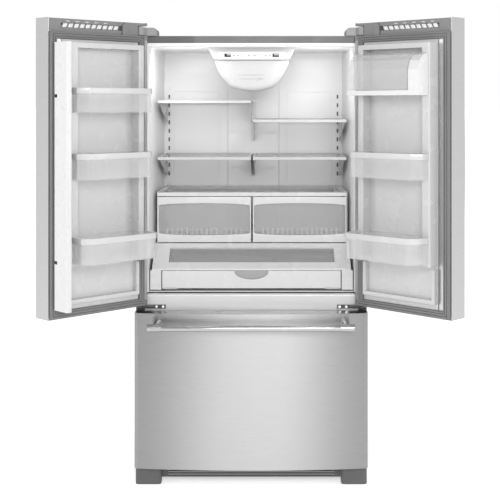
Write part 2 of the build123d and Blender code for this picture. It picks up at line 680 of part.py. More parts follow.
def pin_space():
    """Round space in the door's top corner where the hinge's nose turns."""
    height = PIN_SPACE_HIGH - PIN_SPACE_LOW
    return rod(PIN_SPACE, height, (PIN_X, PIN_Y, (PIN_SPACE_LOW + PIN_SPACE_HIGH) / 2))


def door_skin():
    """Brushed steel wrap: contoured front, two side edges and a flange behind."""
    z = (DOOR_BOTTOM, DOOR_TOP)
    skin = contoured_block(DOOR_X, z, DOOR_REAR, 0)
    skin -= contoured_block(DOOR_X, (z[0] - 1, z[1] + 1), DOOR_REAR - SHEET, SHEET)
    window = block((DOOR_X[0] + FLANGE - 2, HALF - 34), (DOOR_REAR - 5, DOOR_REAR + 5),
                   (BOTTOM_CAP_TOP + 5, CAP_FLOOR - 5))
    between_edges = (DOOR_X[0] + SHEET, HALF - SHEET)
    behind_cap = block(between_edges, (DOOR_REAR - 5, DOOR_REAR + 5), (CAP_FLOOR, DOOR_TOP + 1))
    below_cap = block(between_edges, (DOOR_REAR - 5, DOOR_REAR + 5), (DOOR_BOTTOM - 1, BOTTOM_CAP_TOP))
    return skin - window - behind_cap - below_cap - pin_space()


def door_cap(z):
    """Solid end cap that fills the skin between two heights and shows behind."""
    cap = contoured_block(DOOR_X, z, DOOR_REAR - SHEET, SHEET + CAP_PLAY)
    edge = SHEET + CAP_PLAY
    return cap + block((DOOR_X[0] + edge, HALF - edge), (DOOR_REAR - 3, DOOR_REAR), z)


def door_caps():
    """Dark end caps: a deep one on top with a long pocket behind, and a shallow one below."""
    top = door_cap((CAP_FLOOR, CAP_TOP)) - pin_space()
    top -= block((DOOR_X[0] + 54, DOOR_X[0] + 332), (DOOR_REAR - 16, DOOR_REAR + 1), (1756, 1773))
    top -= pin_bore((CAP_FLOOR - 1, PIN_SPACE_LOW + 1))
    low = door_cap((DOOR_BOTTOM + 0.5, BOTTOM_CAP_TOP)) - pin_bore((DOOR_BOTTOM - 1, BOTTOM_CAP_TOP + 1))
    return group([top, low])


def door_gasket():
    """Magnetic gasket round the door's rear."""
    x = (DOOR_X[0] + GASKET_INSET, HALF - GASKET_HINGE_INSET)
    z = (DOOR_BOTTOM + GASKET_INSET, PIN_SPACE_LOW - 1)
    return ring(x, z, GASKET_WIDTH, (DOOR_REAR, DOOR_REAR + GASKET_DEPTH))


def door_liner():
    """White door liner: a flat back with raised walls at both sides, cut away low down."""
    x = (DOOR_X[0] + FLANGE, HALF - GASKET_HINGE_INSET - GASKET_WIDTH - 0.5)
    z = (DOOR_BOTTOM + GASKET_INSET + GASKET_WIDTH + 0.5, PIN_SPACE_LOW - 1 - GASKET_WIDTH - 0.5)
    liner = block(x, (DOOR_REAR, LINER_FLAT), z)
    low_z = (745, DYKE_LOW)
    liner += ring((DYKE_FREE, DYKE_HINGE), low_z, 14, (LINER_FLAT - 1, SHALLOW_BACK)) - block(
        (0, HALF), (0, 100), (DYKE_LOW - 14, DYKE_LOW + 1))
    high_z = (DYKE_LOW - 1, z[1] - 14)
    walls = block((DYKE_FREE, DYKE_HINGE), (LINER_FLAT - 1, DYKE_BACK), high_z)
    walls -= block((DYKE_FREE + DYKE_FREE_WIDTH, DYKE_HINGE - DYKE_WIDTH), (LINER_FLAT, DYKE_BACK + 1),
                   (high_z[0] - 1, high_z[1] - 18))
    walls = fillet(walls.edges().filter_by(Axis.Z).group_by(Axis.Y)[-1], 6)
    hollow = block((DYKE_FREE + 3, DYKE_FREE + DYKE_FREE_WIDTH - 3), (DOOR_REAR - 1, DYKE_BACK - 3),
                   (high_z[0] + 3, high_z[1] - 3))
    hinge_hollow = block((DYKE_HINGE - DYKE_WIDTH + 3, DYKE_HINGE - 3), (DOOR_REAR - 1, DYKE_BACK - 3),
                         (high_z[0] + 3, high_z[1] - 3))
    return liner + walls - hollow - hinge_hollow


def door_bin(z, depth):
    """Open-topped door bin, narrow between the liner's walls and wider in front of them."""
    back = LINER_FLAT + 0.6
    inner = (DYKE_FREE + DYKE_FREE_WIDTH + 1, DYKE_HINGE - DYKE_WIDTH - 1)
    outer = (DYKE_FREE + 6, DYKE_HINGE)
    front = (DYKE_BACK + 0.6, LINER_FLAT + depth)

    def plan(wall):
        return [(inner[0] + wall, back + wall), (inner[1] - wall, back + wall),
                (inner[1] - wall, front[0] + wall), (outer[1] - wall, front[0] + wall),
                (outer[1] - wall, front[1] - 18), (outer[1] - 20, front[1] - wall),
                (outer[0] + 34, front[1] - wall), (outer[0] + wall, front[1] - 30),
                (outer[0] + wall, front[0] + wall), (inner[0] + wall, front[0] + wall)]

    return plan_profile(plan(0), *z) - plan_profile(plan(3), z[0] + 3, z[1] + 1)


def dairy_box():
    """Dairy compartment: a shallow tray with a solid white end at the free side."""
    x = (DYKE_FREE + 6, DYKE_HINGE)
    y = DYKE_BACK + 0.6
    tray_z = (1508, DAIRY_FLOOR)
    between = (DYKE_FREE + DYKE_FREE_WIDTH + 1, DYKE_HINGE - DYKE_WIDTH - 1)
    box = block(x, (y, 150), tray_z) + block(between, (LINER_FLAT + 0.6, y + 1), tray_z)
    box -= block((between[0] + 3, between[1] - 3), (LINER_FLAT + 4, 146), (tray_z[0] + 4, DAIRY_FLOOR + 1))
    arch = [(y, DAIRY_FLOOR), (149, DAIRY_FLOOR), (149, 1600), (138, 1634), (114, 1655), (y, 1662)]
    box += side_profile(arch, x[0], x[0] + 44)
    hub = [(y, DAIRY_FLOOR), (100, DAIRY_FLOOR), (100, 1664), (y, 1664)]
    box += side_profile(hub, DYKE_HINGE - 5, DYKE_HINGE)
    bore_start = x[0] + 24
    return box - rod(LID_PIN + RUNNING_FIT, 320, (bore_start + 160, LID_Y, LID_Z), "X")


def dairy_lid():
    """Clear curved lid, hung on a rod along its upper edge."""
    x = (DYKE_FREE + 52, DYKE_HINGE - 7)
    foot = DAIRY_FLOOR + 1.5
    dome = [(93, 1661.5), (100, 1664), (124, 1657), (142, 1637), (150, 1604), (150, foot)]
    outer = side_profile([*dome, (92, foot)], *x)
    inside = [(y - 2.5, z - 2.5) for y, z in dome] + [(80, foot - 8), (80, 1661.5)]
    shell = outer - side_profile(inside, x[0] + 2.5, x[1] - 2.5)
    shell -= block((x[0] - 1, x[1] + 1), (80, LID_Y + 2), (foot - 8, LID_Z - 8))
    return shell + rod(LID_PIN, x[1] - x[0] + 16, ((x[0] + x[1]) / 2, LID_Y, LID_Z), "X")


def handle(length):
    """Bowed bar along X with a ribbed cap and a post at each end; it stands out along -Y."""
    half = length / 2
    tip = half - HANDLE_CAP / 2
    bar_path = ThreePointArc((-tip, 0, 0), (0, -HANDLE_BOW, 0), (tip, 0, 0))
    bar = sweep(Plane(bar_path @ 0, z_dir=bar_path % 0) * Circle(HANDLE_RADIUS), bar_path)
    pieces = bar
    for side in (-1, 1):
        cap = rod(HANDLE_CAP_RADIUS, HANDLE_CAP, (side * tip, 0, 0), "X")
        cap = fillet(cap.edges().filter_by(GeomType.CIRCLE), 2)
        pieces += cap
    return pieces


def drawer_handle():
    half = HANDLE_LENGTH / 2 - HANDLE_CAP / 2
    seat = front_y(half)
    body = Pos(0, seat - HANDLE_STAND, DRAWER_HANDLE_Z) * handle(HANDLE_LENGTH)
    for side in (-1, 1):
        post = rod(11, HANDLE_STAND + 6, (side * half, seat - HANDLE_STAND / 2, DRAWER_HANDLE_Z), "Y")
        body += post
    return body - contoured_block((-HALF, HALF), (DRAWER_BOTTOM, DRAWER_TOP), DOOR_REAR, 0)


def door_handle():
    """The same handle standing upright near the right door's free edge."""
    half = HANDLE_LENGTH / 2 - HANDLE_CAP / 2
    seat = front_y(DOOR_HANDLE_X)
    body = Pos(DOOR_HANDLE_X, seat - HANDLE_STAND, DOOR_HANDLE_Z) * Rot(0, 90, 0) * handle(HANDLE_LENGTH)
    for side in (-1, 1):
        z = DOOR_HANDLE_Z + side * half
        body += rod(11, HANDLE_STAND + 6, (DOOR_HANDLE_X, seat - HANDLE_STAND / 2, z), "Y")
    return body - contoured_block(DOOR_X, (DOOR_BOTTOM, DOOR_TOP), DOOR_REAR, 0)


def flipper_mullion():
    """Hinged mullion, drawn spread across the gap between the shut doors."""
    y = (MULLION_Y - MULLION_FACE, MULLION_Y - MULLION_FACE + MULLION_THICK)
    bar = block((-MULLION_WIDTH / 2, MULLION_WIDTH / 2), y, (MULLION_BOTTOM, MULLION_TOP))
    tail = bar.edges().filter_by(Axis.Z).group_by(Axis.X)[0].sort_by(Axis.Y)[0]
    bar = fillet(tail, 16)
    bar = fillet(bar.edges().filter_by(Axis.Z).group_by(Axis.X)[-1], 4)
    for z in MULLION_EARS:
        bar -= rod(22, EAR_THICK + 2, (MULLION_X, MULLION_Y, z))
        bar -= rod(MULLION_PIN + RUNNING_FIT, EAR_THICK + 32, (MULLION_X, MULLION_Y, z))
    return bar


def mullion_ears():
    """Two ears with pins on the left door's liner, drawn on the right-hand side."""
    ears = []
    for z in MULLION_EARS:
        ear = block((-MULLION_X, DYKE_FREE + 2), (MULLION_Y - 8, MULLION_Y + 8),
                    (z - EAR_THICK / 2, z + EAR_THICK / 2))
        ear += rod(8, EAR_THICK, (-MULLION_X, MULLION_Y, z))
        ears.append(ear + rod(MULLION_PIN, EAR_THICK + 30, (-MULLION_X, MULLION_Y, z)))
    return ears


# ---- freezer drawer ------------------------------------------------------------------------------
def drawer_skin():
    x, z = (-HALF, HALF), (DRAWER_BOTTOM, DRAWER_TOP)
    skin = contoured_block(x, z, DOOR_REAR, 0)
    skin -= contoured_block(x, (z[0] + SHEET, z[1] - SHEET), DOOR_REAR - SHEET, SHEET)
    return skin - block((-HALF + 36, HALF - 36), (DOOR_REAR - 5, DOOR_REAR + 5), (z[0] + 36, z[1] - 36))


def drawer_gasket():
    return ring((-HALF + GASKET_INSET, HALF - GASKET_INSET), (FREEZER_FLOOR - 32, DRAWER_TOP - GASKET_INSET),
                GASKET_WIDTH, (DOOR_REAR, DOOR_REAR + GASKET_DEPTH))


def drawer_liner():
    """White inner panel of the drawer front."""
    z = (FREEZER_FLOOR - 5, DRAWER_TOP - GASKET_INSET - GASKET_WIDTH - 0.5)
    half = HALF - GASKET_INSET - GASKET_WIDTH - 0.5
    panel = block((-half, half), (DOOR_REAR, DOOR_REAR + 3), z)
    raised = block((-388, 388), (DOOR_REAR + 2, DOOR_REAR + 24), (z[0] + 12, z[1] - 12))
    raised = fillet(raised.edges().group_by(Axis.Y)[-1], 8)
    raised -= block((-384, 384), (DOOR_REAR, DOOR_REAR + 20), (z[0] + 16, z[1] - 16))
    return panel + raised


def drawer_runners():
    """Two steel runners fixed behind the drawer's inner panel."""
    runner = block((378, 384), (DOOR_REAR + 24, 500), (300, 332))
    runner += block((340, 384), (DOOR_REAR + 24, DOOR_REAR + 27), (290, 342))
    return group(both_sides(runner))


def slide_rails():
    """Fixed rails on the freezer's side walls, for the drawer and for the upper basket."""
    low = block((386, FREEZER_HALF), (70, 478), (296, 336)) - block((380, 396), (60, 500), (300 - 0.6, 332.6))
    high = block((372, FREEZER_HALF), (80, 520), (560, 565))
    return group([*both_sides(low), *both_sides(high)])


def lower_basket():
    """Deep basket carried by the drawer."""
    basket = tray((-366, 366), (DOOR_REAR + 27.5, 440), (FREEZER_FLOOR + 10, 430), 3)
    for side in (-1, 1):
        basket += block((min(side * 364, side * 377.5), max(side * 364, side * 377.5)), (90, 420), (300, 306))
    return basket


def upper_basket():
    """Shallow basket that slides on its own rails."""
    basket = tray((-366, 366), (DOOR_REAR + 30, 520), (470, 590), 3)
    for side in (-1, 1):
        basket += block((min(side * 364, side * 392), max(side * 364, side * 392)), (80, 515), (565.4, 571))
    return basket


def cord_gland():
    """Strain relief in the back for the mains lead."""
    gland = rod(9, REAR_PANEL + 6, (-360, CABINET_BACK + REAR_PANEL / 2, 200), "Y")
    return gland - rod(4.5, 60, (-360, CABINET_BACK, 200), "Y")


# ---- bringing it together ------------------------------------------------------------------------
def left(shape):
    return mirror(shape, about=Plane.YZ)


def turned(shape, degrees, x, y):
    """Turn a shape about an upright axis."""
    return Pos(x, y, 0) * Rot(0, 0, degrees) * Pos(-x, -y, 0) * shape


def right_open(shape):
    return turned(shape, DOOR_OPEN, PIN_X, PIN_Y)


def left_open(shape):
    return turned(shape, -DOOR_OPEN, -PIN_X, PIN_Y)


def build():
    folded = turned(flipper_mullion(), 90, MULLION_X, MULLION_Y)
    left_liner = door_liner()
    for ear in mullion_ears():
        left_liner += ear
    bins = {"right": [door_bin(MIDDLE_BIN, BIN_DEPTH), door_bin(LOW_BIN, LOW_BIN_DEPTH)],
            "left": [door_bin(TOP_BIN, BIN_DEPTH), door_bin(MIDDLE_BIN, BIN_DEPTH), door_bin(LOW_BIN, LOW_BIN_DEPTH)]}
    shelves = [(shelf_side(name), z) for name, z in SHELF_HEIGHTS.items()]
    nodes = {
        "cabinet_shell": without_screw_holes(cabinet_shell()), "rear_panel": rear_panel(),
        "fresh_food_liner": fresh_food_liner(),
        "freezer_liner": freezer_liner(),
        "mullion_rail": without_screw_holes(mullion_rail()), "base_frame": base_frame(),
        "base_grille": base_grille(), "compressor": compressor(),
        "condenser_and_fan_motor": group([condenser(), condenser_fan_motor()]), "evaporator": evaporator(),
        "evaporator_cover": evaporator_cover(), "air_duct": air_duct(), "control_housing": control_housing(),
        "control_panel": control_panel(), "light_diffuser": light_diffuser(), "lamps": lamps(),
        "shelf_ladders": shelf_ladders(), "shelf_frames": group([shelf_frame(*s) for s in shelves]),
        "shelf_glass": group([shelf_glass(*s) for s in shelves]), "crisper_cover": crisper_cover(),
        "deli_cover": deli_cover(), "cover_glass": cover_glass(),
        "hinges": group([side for leaf in (upper_hinge(), lower_hinge())
                         for side in both_sides(without_screw_holes(leaf))]),
        "hinge_covers": group(both_sides(hinge_cover())), "screws": screws(), "slide_rails": slide_rails(),
        "cord_gland": cord_gland(),
        "levelling_leg_left": levelling_leg(-1), "levelling_leg_right": levelling_leg(1),
        "rear_rollers": rear_rollers(), "condenser_fan": condenser_fan(), "evaporator_fan": evaporator_fan(),
        "button_left": button(-1), "button_right": button(1),
        "crisper_left": crisper(-1), "crisper_right": crisper(1),
        "deli_drawer": deli_drawer(), "deli_divider": deli_divider(),
        "left_door_skin": left_open(left(door_skin())), "left_door_liner": left_open(left(left_liner)),
        "left_door_gasket": left_open(left(door_gasket())), "left_door_caps": left_open(left(door_caps())),
        "left_door_handle": left_open(left(door_handle())),
        "left_door_bins": group([left_open(left(b)) for b in bins["left"]]),
        "flipper_mullion": left_open(folded),
        "right_door_skin": right_open(door_skin()), "right_door_liner": right_open(door_liner()),
        "right_door_gasket": right_open(door_gasket()), "right_door_caps": right_open(door_caps()),
        "right_door_handle": right_open(door_handle()),
        "right_door_bins": group([right_open(b) for b in bins["right"]]),
        "dairy_box": right_open(dairy_box()), "dairy_lid": right_open(dairy_lid()),
        "drawer_skin": drawer_skin(), "drawer_liner": drawer_liner(), "drawer_gasket": drawer_gasket(),
        "drawer_handle": drawer_handle(), "drawer_runners": drawer_runners(), "lower_basket": lower_basket(),
        "upper_basket": upper_basket(),
    }
    return nodes


nodes = build()
boxes = [shape.bounding_box() for shape in nodes.values()]
MIDDLE_Y = (min(b.min.Y for b in boxes) + max(b.max.Y for b in boxes)) / 2
os.makedirs("parts", exist_ok=True)
for name, shape in nodes.items():
    export_step(Pos(0, -MIDDLE_Y, 0) * shape, f"parts/{name}.step")
print(len(nodes), "nodes; the drawing plane lies", round(MIDDLE_Y, 3), "mm before the origin")
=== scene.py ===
"""Looks of a french door refrigerator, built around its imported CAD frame. Metres throughout."""

import json
import math

import bmesh
import bpy
from mathutils import Matrix, Vector


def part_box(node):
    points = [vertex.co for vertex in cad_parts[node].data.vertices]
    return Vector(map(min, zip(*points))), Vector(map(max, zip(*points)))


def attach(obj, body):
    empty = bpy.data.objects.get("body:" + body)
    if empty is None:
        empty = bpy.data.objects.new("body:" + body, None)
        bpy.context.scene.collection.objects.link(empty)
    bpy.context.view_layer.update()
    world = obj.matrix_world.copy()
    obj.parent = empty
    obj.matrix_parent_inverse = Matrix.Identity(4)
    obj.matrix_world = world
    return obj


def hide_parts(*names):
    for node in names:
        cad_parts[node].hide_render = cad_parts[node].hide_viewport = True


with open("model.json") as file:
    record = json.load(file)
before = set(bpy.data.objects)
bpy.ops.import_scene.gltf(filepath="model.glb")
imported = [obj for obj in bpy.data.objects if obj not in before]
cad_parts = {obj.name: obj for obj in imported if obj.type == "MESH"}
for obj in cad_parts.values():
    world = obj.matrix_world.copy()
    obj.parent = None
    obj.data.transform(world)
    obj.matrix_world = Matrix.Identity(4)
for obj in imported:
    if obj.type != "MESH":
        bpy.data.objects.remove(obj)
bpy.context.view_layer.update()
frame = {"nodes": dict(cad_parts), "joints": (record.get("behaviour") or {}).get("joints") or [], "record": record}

# ---- places taken from the frame -----------------------------------------------------------------
JOINTS = {joint["name"]: joint for joint in frame["joints"]}
SLOT_OF = {part["node"]: part["material_slot"] for part in frame["record"]["subparts"]}
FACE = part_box("cabinet_shell")[0].y          # plane of the cabinet's front edge
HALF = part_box("cabinet_shell")[1].x
DOOR_REAR = FACE - 0.013                     # steel flange behind a shut door
LINER_FLAT = FACE - 0.010
DYKE_BACK = FACE + 0.040                     # a shut door's liner walls reach into the cabinet
DOOR_GAP = 0.0015
DYKE_FREE = 0.062
DYKE_HINGE = 0.398
SKY = ((0.04, 0.78), (0.38, 0.30), (0.92, 1.0))   # brightness all round, by how far it lies to the side
FLOOR_REACH = 400.0
GASKET_WIDTH = 0.026
GASKET_LEVELS = (0.697, 1.740)
GASKET_RIBS = ((0.0010, 0.0065), (0.0095, 0.0075), (0.0190, 0.0060))   # inset from the outer edge, width
CAP_POCKET = (1.757, 1.772)                       # levels of the pocket in a door's top cap
CAP_BLOCK_X = (0.330, 0.360)
CAP_BLOCK_LEVELS = (1.727, 1.776, 1.7885)
CAP_SLOT_LEVELS = (1.778, 1.7815)
HIGH_BIN = (1.444, 1.534, 0.110)                  # bottom, top and depth of each door bin
MIDDLE_BIN = (1.200, 1.294, 0.110)
LOW_BIN = (0.896, 0.991, 0.138)
WALL_PANEL_X = (0.150, 0.352)
WALL_PANEL_LEVELS = (1.14, 1.530, 1.532, 1.533)
LADDER_TOP_SLOT = 1.509
LADDER_PITCH = 0.038
RING_RISE = 0.0007
CAMERA_PLACE = (0.064, FACE - 4.3607, 1.473)
CAMERA_SHIFT = (-0.0354, -0.2904)                 # level camera: the photo's upright edges are parallel
SMOOTH_BELOW = math.radians(35)


# ---- node materials --------------------------------------------------------------------------------
def principled(name, **values):
    """A new material whose shader sockets are set to plain values."""
    material = bpy.data.materials.new(name)
    material.use_nodes = True
    shader = material.node_tree.nodes["Principled BSDF"]
    for socket, value in values.items():
        shader.inputs[socket.replace("_", " ")].default_value = value
    return material


def add_node(material, kind, **settings):
    """A shader node, with each setting put on its socket if it has one, else on the node."""
    node = material.node_tree.nodes.new(kind)
    for key, value in settings.items():
        if key in node.inputs:
            node.inputs[key].default_value = value
        else:
            setattr(node, key, value)
    return node


def link(material, source, socket_out, target, socket_in):
    """Joins two of a material's nodes by the names of their sockets."""
    material.node_tree.links.new(source.outputs[socket_out], target.inputs[socket_in])


def noise(material, scale, stretch=(1, 1, 1), detail=3.0):
    """A noise texture on the object's own coordinates; stretch multiplies the scale along each axis."""
    place = add_node(material, "ShaderNodeTexCoord")
    mapping = add_node(material, "ShaderNodeMapping")
    mapping.inputs["Scale"].default_value = stretch
    texture = add_node(material, "ShaderNodeTexNoise", Scale=scale, Detail=detail)
    link(material, place, "Object", mapping, "Vector")
    link(material, mapping, "Vector", texture, "Vector")
    return texture


def tint(material, texture, dark, light, spread=(0.05, 0.95)):
    """Base colour that wanders between two greys with the texture."""
    ramp = add_node(material, "ShaderNodeValToRGB")
    for stop, place, grey in zip(ramp.color_ramp.elements, spread, (dark, light)):
        stop.position = place
        stop.color = (grey, grey, grey, 1)
    link(material, texture, "Fac", ramp, "Fac")
    link(material, ramp, "Color", material.node_tree.nodes["Principled BSDF"], "Base Color")


def roughen(material, texture, low, high):
    """Roughness that wanders between two values with the texture."""
    span = add_node(material, "ShaderNodeMapRange")
    span.inputs["From Min"].default_value = 0.3
    span.inputs["From Max"].default_value = 0.7
    span.inputs["To Min"].default_value = low
    span.inputs["To Max"].default_value = high
    link(material, texture, "Fac", span, "Value")
    link(material, span, "Result", material.node_tree.nodes["Principled BSDF"], "Roughness")


def emboss(material, texture, depth, strength=1.0):
    """Bump of a given depth from the texture."""
    bump = add_node(material, "ShaderNodeBump", Strength=strength, Distance=depth)
    link(material, texture, "Fac", bump, "Height")
    link(material, bump, "Normal", material.node_tree.nodes["Principled BSDF"], "Normal")


def brushed(name, dark, light, rough=(0.26, 0.34), grain=(1.2, 1.2, 260)):
    """Brushed stainless steel; the grain runs along the axes with the small stretch."""
    material = principled(name, Metallic=1.0, Anisotropic=0.75, Anisotropic_Rotation=0.25)
    tangent = add_node(material, "ShaderNodeTangent", direction_type="RADIAL", axis="Z")
    link(material, tangent, "Tangent", material.node_tree.nodes["Principled BSDF"], "Tangent")
    fine = noise(material, 5.0, grain, detail=6.0)
    tint(material, fine, dark, light, spread=(0.3, 0.7))
    roughen(material, noise(material, 9.0, grain), *rough)
    emboss(material, fine, 0.00006, 0.5)
    return material


def steel_with_painted_reflection(name, middle, sides):
    """Brushed steel for a bowed front, with a painted reflection: its colour is lighter in the middle and darker
    towards its two sides.
    """
    material = brushed(name, middle, middle + 0.015)
    shader = material.node_tree.nodes["Principled BSDF"]
    grain = shader.inputs["Base Color"].links[0].from_node
    place = add_node(material, "ShaderNodeTexCoord")
    axes = add_node(material, "ShaderNodeSeparateXYZ")
    sideways = add_node(material, "ShaderNodeMath", operation="ABSOLUTE")
    # painted reflection: the base colour is multiplied down from full near the middle to sides/middle at the two
    # sides
    painted_reflection_falloff = add_node(material, "ShaderNodeMapRange", interpolation_type="SMOOTHSTEP")
    painted_reflection_falloff.inputs["From Min"].default_value = 0.10
    painted_reflection_falloff.inputs["From Max"].default_value = HALF
    painted_reflection_falloff.inputs["To Min"].default_value = 1.0
    painted_reflection_falloff.inputs["To Max"].default_value = sides / middle
    mix = add_node(material, "ShaderNodeMix", data_type="RGBA", blend_type="MULTIPLY")
    mix.inputs["Factor"].default_value = 1.0
    link(material, place, "Object", axes, "Vector")
    material.node_tree.links.new(axes.outputs["X"], sideways.inputs[0])
    link(material, sideways, "Value", painted_reflection_falloff, "Value")
    link(material, grain, "Color", mix, "A")
    link(material, painted_reflection_falloff, "Result", mix, "B")
    link(material, mix, "Result", shader, "Base Color")
    return material


def moulded(name, dark, light, rough=(0.3, 0.42), texture_scale=420.0, depth=0.00004, **values):
    """Moulded plastic or paint: a faint drift of tone over large areas and a fine surface texture."""
    material = principled(name, **values)
    tint(material, noise(material, 2.6), dark, light)
    roughen(material, noise(material, 14.0), *rough)
    emboss(material, noise(material, texture_scale, detail=2.0), depth, 0.6)
    return material


def clear(name, shade, alpha, rough=(0.05, 0.12), **values):
    """Clear or frosted plastic and glass, shown by its sheen and its tint."""
    lighter = min(1.0, shade + 0.04)
    material = moulded(name, shade, lighter, rough, texture_scale=60.0, depth=0.00002, **values)
    material.node_tree.nodes["Principled BSDF"].inputs["Alpha"].default_value = alpha
    return material


MATERIALS = {
    "door_steel": brushed("door_steel", 0.53, 0.56),
    "handle_steel": brushed("handle_steel", 0.40, 0.46, (0.16, 0.24), (260, 260, 1.2)),
    "cabinet_paint": moulded("cabinet_paint", 0.077, 0.084, (0.38, 0.5), 900.0, 0.00008, Coat_Weight=0.15),
    "zinc_back": moulded("zinc_back", 0.36, 0.44, (0.35, 0.5), 30.0, 0.00002, Metallic=0.8),
    "rail_paint": moulded("rail_paint", 0.66, 0.70, (0.28, 0.36), Metallic=0.15),
    "white_plastic": moulded("white_plastic", 0.84, 0.86, (0.3, 0.36), 300.0, 0.00001, Coat_Weight=0.1),
    "clear_plastic": clear("clear_plastic", 0.72, 0.30),
    "shelf_glass": clear("shelf_glass", 0.80, 0.22, (0.02, 0.05)),
    "white_trim": moulded("white_trim", 0.66, 0.68, (0.22, 0.3), 500.0, 0.00002, Coat_Weight=0.25),
    "ladder_paint": moulded("ladder_paint", 0.82, 0.84, (0.3, 0.4)),
    "grey_plastic": moulded("grey_plastic", 0.185, 0.20, (0.42, 0.55), 700.0, 0.0001),
    "hinge_cover_plastic": moulded("hinge_cover_plastic", 0.27, 0.30, (0.32, 0.42), 700.0, 0.00006),
    "seal_rubber": moulded("seal_rubber", 0.165, 0.18, (0.5, 0.62), 300.0, 0.00008),
    "hinge_steel": moulded("hinge_steel", 0.07, 0.09, (0.35, 0.5), 500.0, 0.00005, Metallic=0.4),
    "screw_steel": moulded("screw_steel", 0.7, 0.8, (0.15, 0.25), 200.0, 0.00003, Metallic=1.0),
    "base_steel": moulded("base_steel", 0.05, 0.07, (0.4, 0.55), 400.0, 0.00006, Metallic=0.3),
    "black_paint": moulded("black_paint", 0.012, 0.02, (0.3, 0.45), 400.0, 0.00008),
    "cooling_aluminium": moulded("cooling_aluminium", 0.7, 0.78, (0.25, 0.4), 80.0, 0.00004, Metallic=1.0),
    "black_plastic": moulded("black_plastic", 0.012, 0.02, (0.4, 0.55), 600.0, 0.00008),
    "panel_film": moulded("panel_film", 0.70, 0.74, (0.2, 0.3)),
    "button_plastic": moulded("button_plastic", 0.62, 0.68, (0.25, 0.35)),
    "lamp_cover": moulded("lamp_cover", 0.60, 0.62, (0.25, 0.35), 300.0, 0.00003, Transmission_Weight=0.1),
    "lamp_glass": clear("lamp_glass", 0.9, 0.7),
    "zinc_steel": moulded("zinc_steel", 0.5, 0.6, (0.28, 0.4), 120.0, 0.00004, Metallic=0.9),
    "roller_nylon": moulded("roller_nylon", 0.02, 0.03, (0.4, 0.55)),
}
MARK_GREY = moulded("mark_grey", 0.30, 0.34, (0.35, 0.45))
DARK_WINDOW = moulded("dark_window", 0.008, 0.014, (0.06, 0.12), Coat_Weight=0.5)
SHADOW_GREY = moulded("shadow_grey", 0.09, 0.11, (0.5, 0.6))
DOOR_TRIM = moulded("door_trim_white", 0.54, 0.56, (0.22, 0.3), 500.0, 0.00002, Coat_Weight=0.2)
DOOR_WHITE = moulded("door_white", 0.51, 0.53, (0.22, 0.3), 500.0, 0.00003, Coat_Weight=0.25)
FOOT_GREY = moulded("foot_grey", 0.085, 0.10, (0.42, 0.55), 700.0, 0.0001)
GRIP_GREY = moulded("grip_grey", 0.34, 0.38, (0.35, 0.45))
RIB_GREY = moulded("rib_grey", 0.42, 0.45, (0.25, 0.35))

NODE_MATERIALS = {
    # the drawer front's steel carries a painted reflection, lighter in the middle and darker to the sides
    "drawer_skin": steel_with_painted_reflection("drawer_steel_painted_reflection", 0.465, 0.30),
    "shelf_frames": moulded("shelf_trim_white", 0.54, 0.56, (0.25, 0.33), 400.0, 0.00002),
    "control_housing": moulded("housing_white", 0.48, 0.50, (0.3, 0.38), 400.0, 0.00002),
    "left_door_liner": DOOR_WHITE, "right_door_liner": DOOR_WHITE, "base_grille": FOOT_GREY,
    "flipper_mullion": moulded("flipper_white", 0.62, 0.64, (0.25, 0.32), 500.0, 0.00002, Coat_Weight=0.2),
    }

for node, body_object in frame["nodes"].items():
    body_object.data.materials.clear()
    body_object.data.materials.append(NODE_MATERIALS.get(node, MATERIALS[SLOT_OF[node]]))


# ---- mesh helpers ----------------------------------------------------------------------------------
def mesh_object(name, bm, material, body, bevel=0.0, matrix=None):
    """Turns a bmesh into a piece that rides on a body."""
    bmesh.ops.recalc_face_normals(bm, faces=bm.faces)
    if bevel:
        sharp = [e for e in bm.edges if len(e.link_faces) == 2 and e.calc_face_angle(0) > 0.5]
        bmesh.ops.bevel(bm, geom=sharp, offset=bevel, segments=3, profile=0.5, affect="EDGES",
                        clamp_overlap=True)
    mesh = bpy.data.meshes.new(name)
    bm.to_mesh(mesh)
    bm.free()
    if matrix is not None:
        mesh.transform(matrix)
        if matrix.determinant() < 0:
            mesh.flip_normals()
    piece = bpy.data.objects.new(name, mesh)
    bpy.context.scene.collection.objects.link(piece)
    mesh.materials.append(material)
    for face in mesh.polygons:
        face.use_smooth = True
    mesh.set_sharp_from_angle(angle=SMOOTH_BELOW)
    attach(piece, body)
    return piece


def add_prism(bm, outline, low, high, axis="y"):
    """Adds an outline of 2-D points, extruded between two values along x, y or z."""
    def point(a, b, along):
        return {"x": (along, a, b), "y": (a, along, b), "z": (a, b, along)}[axis]

    near = [bm.verts.new(point(a, b, low)) for a, b in outline]
    far = [bm.verts.new(point(a, b, high)) for a, b in outline]
    bm.faces.new(near)
    bm.faces.new(list(reversed(far)))
    for i, vertex in enumerate(near):
        following = (i + 1) % len(near)
        bm.faces.new((vertex, far[i], far[following], near[following]))


def rectangle(a, b):
    """Corners of the rectangle that spans a on its first axis and b on its second."""
    return [(a[0], b[0]), (a[1], b[0]), (a[1], b[1]), (a[0], b[1])]


def arc_points(centre, radii, start, end, count):
    """Points on an ellipse's arc, angles in degrees."""
    angles = [math.radians(start + (end - start) * i / (count - 1)) for i in range(count)]
    return [(centre[0] + radii[0] * math.cos(t), centre[1] + radii[1] * math.sin(t)) for t in angles]


def door_place(side):
    """From the right door, drawn shut, to either door as it rests, open at its stop."""
    joint = JOINTS[f"{side}_door_hinge"]
    pivot = Matrix.Translation(Vector(joint["pos_m"]))
    turn = Matrix.Rotation(-math.radians(joint["range_deg"][0]), 4, Vector(joint["axis"]))
    flip = Matrix.Scale(-1, 4, Vector((1, 0, 0))) if side == "left" else Matrix.Identity(4)
    return pivot @ turn @ pivot.inverted() @ flip


